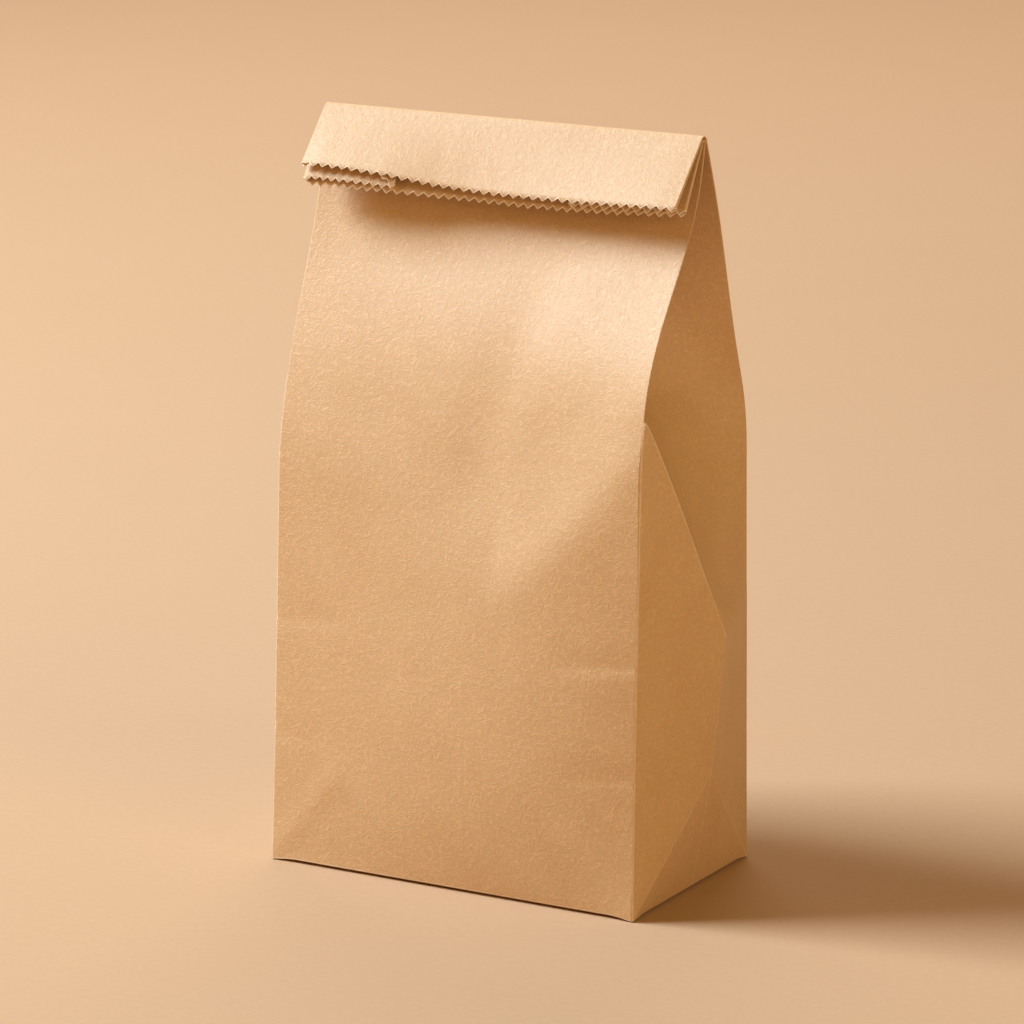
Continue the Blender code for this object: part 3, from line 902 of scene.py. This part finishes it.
class NodeTree:
    """A short way to lay nodes and link them in a material or a Geometry Nodes tree."""

    def __init__(self, tree: bpy.types.NodeTree) -> None:
        """Keeps the tree that the nodes go into."""
        self.tree = tree

    def add(self, kind: str, inputs: dict[str | int, object] | None = None, **settings: object) -> bpy.types.Node:
        """Adds a node, sets it, and fills its inputs with values or links.

        Args:
            kind: the node's type.
            inputs: for each input its value, or the socket that feeds it.
            settings: the node's own settings.

        Returns:
            The node.
        """
        node = self.tree.nodes.new(kind)
        for name, value in settings.items():
            setattr(node, name, value)
        for name, value in (inputs or {}).items():
            if isinstance(value, Socket):
                self.tree.links.new(value, node.inputs[name])
            else:
                node.inputs[name].default_value = value
        return node

    def math(self, operation: str, *values: object, clamp: bool = False) -> Socket:
        """A number worked out from one to three others."""
        node = self.add("ShaderNodeMath", dict(enumerate(values)), operation=operation, use_clamp=clamp)
        return node.outputs[0]

    def vector(self, operation: str, *values: object, scale: object = None) -> Socket:
        """A vector, or a number from vectors, worked out from others."""
        inputs: dict[str | int, object] = dict(enumerate(values))
        if scale is not None:
            inputs["Scale"] = scale
        node = self.add("ShaderNodeVectorMath", inputs, operation=operation)
        return node.outputs["Value" if operation in ("DOT_PRODUCT", "LENGTH", "DISTANCE") else "Vector"]

    def noise(self, place: Socket, scale: float, detail: float, bent: float = 0.0) -> Socket:
        """A flat cloud pattern from 0 to 1."""
        inputs = {"Vector": place, "Scale": scale, "Detail": detail, "Distortion": bent}
        return self.add("ShaderNodeTexNoise", inputs, noise_dimensions="2D").outputs[0]

    def ramp(self, value: Socket, low: float, high: float) -> Socket:
        """0 below low and 1 above high, with a smooth step between; the other way round if low is over high."""
        inputs = {"Value": value, "From Min": min(low, high), "From Max": max(low, high)}
        inputs |= {"To Min": float(low > high), "To Max": float(low < high)}
        return self.add("ShaderNodeMapRange", inputs, interpolation_type="SMOOTHSTEP").outputs[0]

    def tint(self, colour: object, factor: object, other: object, kind: str = "MIX") -> Socket:
        """A colour mixed with another."""
        node = self.add("ShaderNodeMix", {"Factor": factor}, data_type="RGBA", blend_type=kind)
        for index, value in ((6, colour), (7, other)):
            if isinstance(value, Socket):
                self.tree.links.new(value, node.inputs[index])
            else:
                node.inputs[index].default_value = value
        return node.outputs[2]


def new_material(name: str, roughness: float, gloss: float = 0.5) -> tuple[bpy.types.Material, NodeTree, dict]:
    """Starts a material.

    Args:
        name: its name.
        roughness: its shader's roughness.
        gloss: its shader's specular level.

    Returns:
        The material, its nodes, and its shader's inputs.
    """
    material = bpy.data.materials.new(name)
    material.use_nodes = True
    inputs = material.node_tree.nodes["Principled BSDF"].inputs
    inputs["Roughness"].default_value = roughness
    inputs["Specular IOR Level"].default_value = gloss
    return material, NodeTree(material.node_tree), inputs


def shown(name: str, data: bpy.types.ID) -> bpy.types.Object:
    """A new object with this data, in the scene."""
    thing = bpy.data.objects.new(name, data)
    bpy.context.scene.collection.objects.link(thing)
    return thing


@dataclass(frozen=True)
class PressedLine:
    """A crease of the flat pattern, in metres: where it runs, how wide it is lightened by wear and painted highlight,
    and how strongly.
    """

    start: tuple[float, float]
    end: tuple[float, float]
    width: float
    wear_and_highlight: float
    ridge: float = 0.0


@dataclass(frozen=True)
class KraftPaper:
    """Brown kraft paper: short felted strands, faint clouds, rare specks, and creases lightened partly by wear and
    partly by a painted highlight.
    """

    colour: Colour = (0.605, 0.370, 0.176, 1.0)
    deep_colour: Colour = (0.585, 0.348, 0.160, 1.0)
    # Pale crease colour: partly worn fibres, partly a painted highlight on the fold edges.
    worn_and_highlight_colour: Colour = (0.800, 0.610, 0.420, 1.0)
    speck_colour: Colour = (0.300, 0.170, 0.080, 1.0)
    roughness: float = 0.60
    gloss: float = 0.72
    cut_colour: Colour = (0.950, 0.800, 0.620, 1.0)
    strand_relief: float = 0.000040
    lines: tuple[PressedLine, ...] = ()

    def build(self) -> bpy.types.Material:
        """The paper's material.

        Returns:
            The material.
        """
        material, nodes, inputs = new_material("kraft_paper", self.roughness, self.gloss)
        pattern = nodes.add("ShaderNodeUVMap", uv_map="sheet").outputs[0]
        place = nodes.vector("SCALE", pattern, scale=1000.0)
        strands = self.strands(nodes, place)
        clouds = nodes.noise(place, 0.055, 3.0, 0.4)
        grain = nodes.noise(place, 2.6, 2.0)
        colour = nodes.tint(self.deep_colour, nodes.ramp(clouds, 0.2, 0.8), self.colour)
        shade = nodes.math("MULTIPLY_ADD", strands, 0.13, 0.955)
        shade = nodes.math("ADD", shade, nodes.math("MULTIPLY", nodes.math("SUBTRACT", grain, 0.5), 0.24))
        grey = nodes.add("ShaderNodeCombineColor", {0: shade, 1: shade, 2: shade}).outputs[0]
        colour = nodes.tint(colour, 1.0, grey, "MULTIPLY")
        colour = nodes.tint(colour, self.specks(nodes, place), self.speck_colour)
        wear_and_highlight, ridge = self.worn_and_highlight_lines(nodes, pattern, place)
        # Creases lightened towards the pale crease colour: partly real wear, partly a painted highlight along the fold
        # edges.
        colour = nodes.tint(colour, wear_and_highlight, self.worn_and_highlight_colour)
        edge = nodes.add("ShaderNodeAttribute", attribute_name="cut_distance").outputs["Fac"]
        colour = nodes.tint(colour, nodes.math("MULTIPLY", nodes.ramp(edge, 0.0006, 0.0001), 0.9), self.cut_colour)
        nodes.tree.links.new(colour, inputs["Base Color"])
        relief = nodes.math("MULTIPLY", strands, self.strand_relief)
        waves = nodes.noise(place, 0.5, 3.0)
        relief = nodes.math("ADD", relief, nodes.math("MULTIPLY", waves, self.strand_relief * 2.2))
        relief = nodes.math("ADD", relief, nodes.math("MULTIPLY", grain, self.strand_relief * 0.5))
        relief = nodes.math("ADD", relief, ridge)
        bump = nodes.add("ShaderNodeBump", {"Height": relief, "Strength": 1.0, "Distance": 1.0})
        nodes.tree.links.new(bump.outputs[0], inputs["Normal"])
        return material

    def strands(self, nodes: NodeTree, place: Socket) -> Socket:
        """Short curled strands, one or two millimetres long, from the level lines of bent clouds.

        Args:
            nodes: the material's nodes.
            place: the place on the sheet, in millimetres.

        Returns:
            1 on a strand and 0 off it.
        """
        total = None
        for turn, scale in ((0.0, 0.46), (0.7, 0.62), (1.9, 0.36)):
            turned = nodes.add(
                "ShaderNodeMapping", {"Vector": place, "Rotation": (0, 0, turn), "Location": (31 * turn, 17 * turn, 0)}
            ).outputs[0]
            level = nodes.math("ABSOLUTE", nodes.math("SUBTRACT", nodes.noise(turned, scale, 0.0, 1.2), 0.5))
            line = nodes.ramp(level, 0.10, 0.0)
            part = nodes.ramp(nodes.noise(turned, scale * 1.5, 0.0), 0.44, 0.60)
            line = nodes.math("MULTIPLY", line, part)
            total = line if total is None else nodes.math("MAXIMUM", total, line)
        return total

    def specks(self, nodes: NodeTree, place: Socket) -> Socket:
        """Rare dark specks, a third of a millimetre across."""
        cells = nodes.add("ShaderNodeTexVoronoi", {"Vector": place, "Scale": 0.11}, voronoi_dimensions="2D")
        spot = nodes.ramp(cells.outputs["Distance"], 0.028, 0.012)
        return nodes.math("MULTIPLY", spot, 0.42)

    def worn_and_highlight_lines(
        self, nodes: NodeTree, pattern: Socket, place: Socket
    ) -> tuple[Socket, Socket]:
        """The creases of the sheet, lightened partly by wear and partly by a painted highlight, with a faint ridge or
        groove.

        Args:
            nodes: the material's nodes.
            pattern: the place on the sheet, in metres.
            place: the same in millimetres.

        Returns:
            How far the paper is lightened, by wear and painted highlight, and how far it stands out.
        """
        uneven = nodes.math("MULTIPLY_ADD", nodes.noise(place, 0.45, 2.0), 1.3, 0.35)
        wear_and_highlight, ridge = None, None
        for line in self.lines:
            a, b = Vector((*line.start, 0)), Vector((*line.end, 0))
            run = b - a
            off = nodes.vector("SUBTRACT", pattern, tuple(a))
            share = nodes.vector("DOT_PRODUCT", off, tuple(run / run.length_squared))
            share = nodes.math("MULTIPLY", share, 1.0, clamp=True)
            gap = nodes.vector("LENGTH", nodes.vector("SUBTRACT", off, nodes.vector("SCALE", tuple(run), scale=share)))
            mask = nodes.ramp(gap, line.width, 0.0)
            worn_and_lit = nodes.math("MULTIPLY", mask, line.wear_and_highlight)
            wear_and_highlight = worn_and_lit if wear_and_highlight is None else nodes.math("MAXIMUM", wear_and_highlight, worn_and_lit)
            if line.ridge:
                raised = nodes.math("MULTIPLY", mask, line.ridge)
                ridge = raised if ridge is None else nodes.math("ADD", ridge, raised)
        return nodes.math("MULTIPLY", wear_and_highlight, uneven, clamp=True), ridge


@dataclass(frozen=True)
class CutEdge:
    """The pale felted edge of the paper where it was cut."""

    colour: Colour = (0.95, 0.85, 0.72, 1.0)
    roughness: float = 0.9

    def build(self) -> bpy.types.Material:
        """The cut edge's material.

        Returns:
            The material.
        """
        material, nodes, inputs = new_material("kraft_cut_edge", self.roughness)
        place = nodes.add("ShaderNodeTexCoord").outputs["Object"]
        fuzz = nodes.add("ShaderNodeTexNoise", {"Vector": place, "Scale": 3000.0, "Detail": 2.0}).outputs[0]
        darker = tuple(0.8 * c for c in self.colour[:3]) + (1.0,)
        nodes.tree.links.new(nodes.tint(darker, nodes.ramp(fuzz, 0.3, 0.6), self.colour), inputs["Base Color"])
        return material


@dataclass(frozen=True)
class StudioFloor:
    """Smooth beige board under the bag."""

    colour: Colour = (0.500, 0.315, 0.181, 1.0)
    radius: float = 14.0

    def build(self) -> bpy.types.Object:
        """The floor, as a disc under the bag.

        Returns:
            The floor's object.
        """
        material, nodes, inputs = new_material("beige_board", 0.9, 0.1)
        place = nodes.add("ShaderNodeTexCoord").outputs["Object"]
        mottle = nodes.add("ShaderNodeTexNoise", {"Vector": place, "Scale": 14.0, "Detail": 2.0}).outputs[0]
        fine = nodes.add("ShaderNodeTexNoise", {"Vector": place, "Scale": 420.0, "Detail": 2.0}).outputs[0]
        darker = tuple(0.95 * c for c in self.colour[:3]) + (1.0,)
        share = nodes.math("MULTIPLY_ADD", mottle, 0.5, nodes.math("MULTIPLY", nodes.ramp(fine, 0.35, 0.65), 0.5))
        nodes.tree.links.new(nodes.tint(darker, share, self.colour), inputs["Base Color"])
        angles = np.linspace(0, 2 * math.pi, 96, endpoint=False)
        rim = [(self.radius * math.cos(a), self.radius * math.sin(a), 0.0) for a in angles]
        mesh = bpy.data.meshes.new("floor")
        mesh.from_pydata(rim, [], [list(range(len(rim)))])
        mesh.materials.append(material)
        return shown("floor", mesh)


class PinkedEdge:
    """Cuts the mouth's edge to a zigzag of pointed teeth, with a Geometry Nodes tree."""

    def __init__(self, depth: float, raggedness: float = 0.07, seed: int = 4) -> None:
        """Keeps how deep the teeth are, how uneven, and the seed of their unevenness."""
        self.depth = depth
        self.raggedness = raggedness
        self.seed = seed

    def tree(self, paper: bpy.types.Material) -> bpy.types.GeometryNodeTree:
        """The tree: each marked point of the edge moves down by a zigzag of its place along the mouth.

        Args:
            paper: the finish of the sheet.

        Returns:
            The tree.
        """
        tree = bpy.data.node_groups.new("pinked_edge", "GeometryNodeTree")
        face = tree.interface
        face.new_socket("Sheet", in_out="INPUT", socket_type="NodeSocketGeometry")
        face.new_socket("Tooth depth", in_out="INPUT", socket_type="NodeSocketFloat")
        face.new_socket("Raggedness", in_out="INPUT", socket_type="NodeSocketFloat")
        face.new_socket("Seed", in_out="INPUT", socket_type="NodeSocketInt")
        face.new_socket("Sheet", in_out="OUTPUT", socket_type="NodeSocketGeometry")
        nodes = NodeTree(tree)
        given = nodes.add("NodeGroupInput").outputs

        def mark(name: str, kind: str) -> Socket:
            """One of the marks that the sheet carries on its points."""
            return nodes.add("GeometryNodeInputNamedAttribute", {"Name": name}, data_type=kind).outputs[0]

        wave = nodes.math("MULTIPLY", nodes.math("PINGPONG", mark("mouth_run", "FLOAT"), 0.5), 2.0)
        low = nodes.math("SUBTRACT", 1.0, given["Raggedness"])
        high = nodes.math("ADD", 1.0, given["Raggedness"])
        chance = nodes.add("FunctionNodeRandomValue", data_type="FLOAT")
        for name, source in (("Min", low), ("Max", high), ("Seed", given["Seed"])):
            tree.links.new(source, next(s for s in chance.inputs if s.name == name and s.enabled))
        uneven = next(s for s in chance.outputs if s.enabled)
        size = nodes.math("MULTIPLY", nodes.math("MULTIPLY", wave, given["Tooth depth"]), mark("mouth_size", "FLOAT"))
        step = nodes.vector("SCALE", mark("mouth_down", "FLOAT_VECTOR"), scale=nodes.math("MULTIPLY", size, uneven))
        on_edge = nodes.add("FunctionNodeCompare", {0: mark("mouth_edge", "FLOAT"), 1: 0.5}, operation="GREATER_THAN")
        moved = nodes.add(
            "GeometryNodeSetPosition", {"Geometry": given["Sheet"], "Selection": on_edge.outputs[0], "Offset": step}
        )
        real = nodes.add("GeometryNodeRealizeInstances", {"Geometry": moved.outputs[0]})
        dressed = nodes.add("GeometryNodeSetMaterial", {"Geometry": real.outputs[0], "Material": paper})
        nodes.add("NodeGroupOutput", {0: dressed.outputs[0]})
        return tree

    def cut(self, sheet: bpy.types.Object, paper: bpy.types.Material) -> None:
        """Cuts the teeth and leaves the sheet a plain mesh.

        Args:
            sheet: the open sheet, marked along its mouth.
            paper: its finish.
        """
        tree = self.tree(paper)
        modifier = sheet.modifiers.new("pinking", "NODES")
        modifier.node_group = tree
        values = {"Tooth depth": self.depth, "Raggedness": self.raggedness, "Seed": self.seed}
        for socket in tree.interface.items_tree:
            if socket.in_out == "INPUT" and socket.name in values:
                modifier[socket.identifier] = values[socket.name]
        graph = bpy.context.evaluated_depsgraph_get()
        cut = sheet.evaluated_get(graph)
        mesh = bpy.data.meshes.new_from_object(cut, preserve_all_data_layers=True, depsgraph=graph)
        sheet.modifiers.remove(modifier)
        finishes = list(sheet.data.materials)
        sheet.data = mesh
        mesh.materials.clear()
        for finish in finishes:
            mesh.materials.append(finish)


@dataclass(frozen=True)
class Camera:
    """The picture's viewpoint: turned to the right of the front, and a little above."""

    azimuth: float = 29.592
    elevation: float = 13.478
    distance: float = 1.50735
    aim: tuple[float, float, float] = (0.000835, 0.0, 0.112925)
    lens: float = 169.87

    def build(self) -> bpy.types.Object:
        """Makes the camera and gives it to the scene.

        Returns:
            The camera's object.
        """
        a, e = math.radians(self.azimuth), math.radians(self.elevation)
        back = Vector((math.sin(a) * math.cos(e), -math.cos(a) * math.cos(e), math.sin(e)))
        data = bpy.data.cameras.new("camera")
        data.lens = self.lens
        data.sensor_width = 36.0
        data.clip_start, data.clip_end = 0.05, 60.0
        camera = shown("camera", data)
        camera.location = Vector(self.aim) + back * self.distance
        camera.rotation_mode = "QUATERNION"
        camera.rotation_quaternion = (-back).to_track_quat("-Z", "Y")
        bpy.context.scene.camera = camera
        return camera


@dataclass(frozen=True)
class Lamp:
    """A square lamp that shines from a direction towards a point."""

    name: str
    direction: tuple[float, float, float]
    distance: float
    size: float
    watts: float
    colour: tuple[float, float, float]
    aim: tuple[float, float, float] = (0.0, 0.0, 0.12)

    def build(self) -> bpy.types.Object:
        """Sets up the lamp.

        Returns:
            The lamp's object.
        """
        data = bpy.data.lights.new(self.name, "AREA")
        data.shape = "SQUARE"
        data.size = self.size
        data.energy = self.watts
        data.color = self.colour
        lamp = shown(self.name, data)
        toward = Vector(self.direction).normalized()
        lamp.location = Vector(self.aim) + toward * self.distance
        lamp.rotation_mode = "QUATERNION"
        lamp.rotation_quaternion = (-toward).to_track_quat("-Z", "Y")
        lamp.visible_camera = False
        return lamp


@dataclass(frozen=True)
class StudioLight:
    """A broad lamp high at the left, one for the far floor, weak ones in front and at the right, and a soft glow."""

    lamps: tuple[Lamp, ...] = (
        Lamp("key", (-0.685, -0.28, 0.672), 2.6, 1.1, 150.5, (0.69, 0.845, 1.0)),
        Lamp("far_floor", (0.0, 0.05, 1.0), 1.9, 1.6, 32.0, (1.0, 0.95, 0.97), (-1.0, 1.75, 0.0)),
        Lamp("front", (-0.70, -0.66, 0.25), 1.8, 0.8, 4.0, (1.0, 0.50, 0.16)),
        Lamp("right", (0.90, -0.32, 0.28), 1.6, 0.8, 8.8, (1.0, 0.79, 0.54)),
    )
    glow: float = 0.250
    glow_colour: Colour = (1.0, 0.60, 0.08, 1.0)

    def build(self) -> None:
        """Sets the lamps and the glow."""
        for lamp in self.lamps:
            lamp.build()
        world = bpy.data.worlds.new("studio")
        world.use_nodes = True
        ground = world.node_tree.nodes["Background"]
        ground.inputs["Color"].default_value = self.glow_colour
        ground.inputs["Strength"].default_value = self.glow
        bpy.context.scene.world = world


def pattern_lines(sheet: BagSheet) -> tuple[PressedLine, ...]:
    """The creases of the bag in its flat pattern.

    Args:
        sheet: the sheet.

    Returns:
        The creases, all in metres on the pattern.
    """
    half, top = sheet.half_depth, 0.275
    end = sheet.legs[-1].start + half
    # Each crease is lightened along its line: partly wear, partly a painted highlight on the fold edge.
    lines = [PressedLine((0.0, 0.0), (end, 0.0), 0.00045, 0.60)]
    for start in (*(leg.start for leg in sheet.legs), end):
        centre = any(leg.start == start and not leg.layer.is_panel and not leg.to_crease for leg in sheet.legs)
        reach = sheet.push_in_from + 0.004 if centre else top
        lines.append(PressedLine((start, 0.0), (start, reach), 0.00042, 0.30 if centre else 0.66, 0.00003))
    for leg in sheet.legs:
        if leg.layer.is_panel:
            continue
        edge = leg.start + (0.0 if leg.to_crease else half)
        crease = leg.start + (half if leg.to_crease else 0.0)
        lines.append(PressedLine((edge, 0.0), (crease, half), 0.00045, 0.26, 0.00003))
        if leg.layer is Layer.FRONT_HALF:
            # The front slanting crease gets the strongest lightening: a painted highlight along its edge, with some
            # wear.
            lines.append(PressedLine((crease, sheet.push_in_from), (edge, sheet.push_in_to), 0.0004, 0.75))
    return tuple(lines)


@dataclass
class PaperBag:
    """The whole bag: its folded sheet, pinked and given its thickness."""

    sheet: BagSheet = field(default_factory=BagSheet)

    def build(self) -> bpy.types.Object:
        """Builds the bag and dresses it.

        Returns:
            The finished piece.
        """
        paper = KraftPaper(lines=pattern_lines(self.sheet)).build()
        edge = CutEdge().build()
        bag = self.sheet.build("kraft_bag", [paper, edge])
        PinkedEdge(self.sheet.tooth_depth).cut(bag, paper)
        wall = bag.modifiers.new("paper", "SOLIDIFY")
        wall.thickness = self.sheet.paper
        wall.offset = -1.0
        wall.thickness_clamp = 1.0
        wall.use_quality_normals = True
        wall.material_offset_rim = 1
        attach(bag, "root")
        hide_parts("paper_bag")
        return bag


def main() -> None:
    """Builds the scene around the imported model."""
    logging.basicConfig(level=logging.INFO, format="%(message)s")
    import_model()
    cad_low, cad_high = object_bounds()
    bag = PaperBag().build()
    log.info("%s: %d points", bag.name, len(bag.data.vertices))
    StudioFloor().build()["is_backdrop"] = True
    Camera().build()
    StudioLight().build()
    bpy.context.scene.view_settings.view_transform = "Standard"
    low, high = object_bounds()
    for name, a, b in (("CAD box", cad_low, cad_high), ("visual box", low, high)):
        log.info("%s: %s mm", name, " x ".join(f"{1000 * (h - l):.1f}" for l, h in zip(a, b)))


if __name__ == "__main__":
    main()
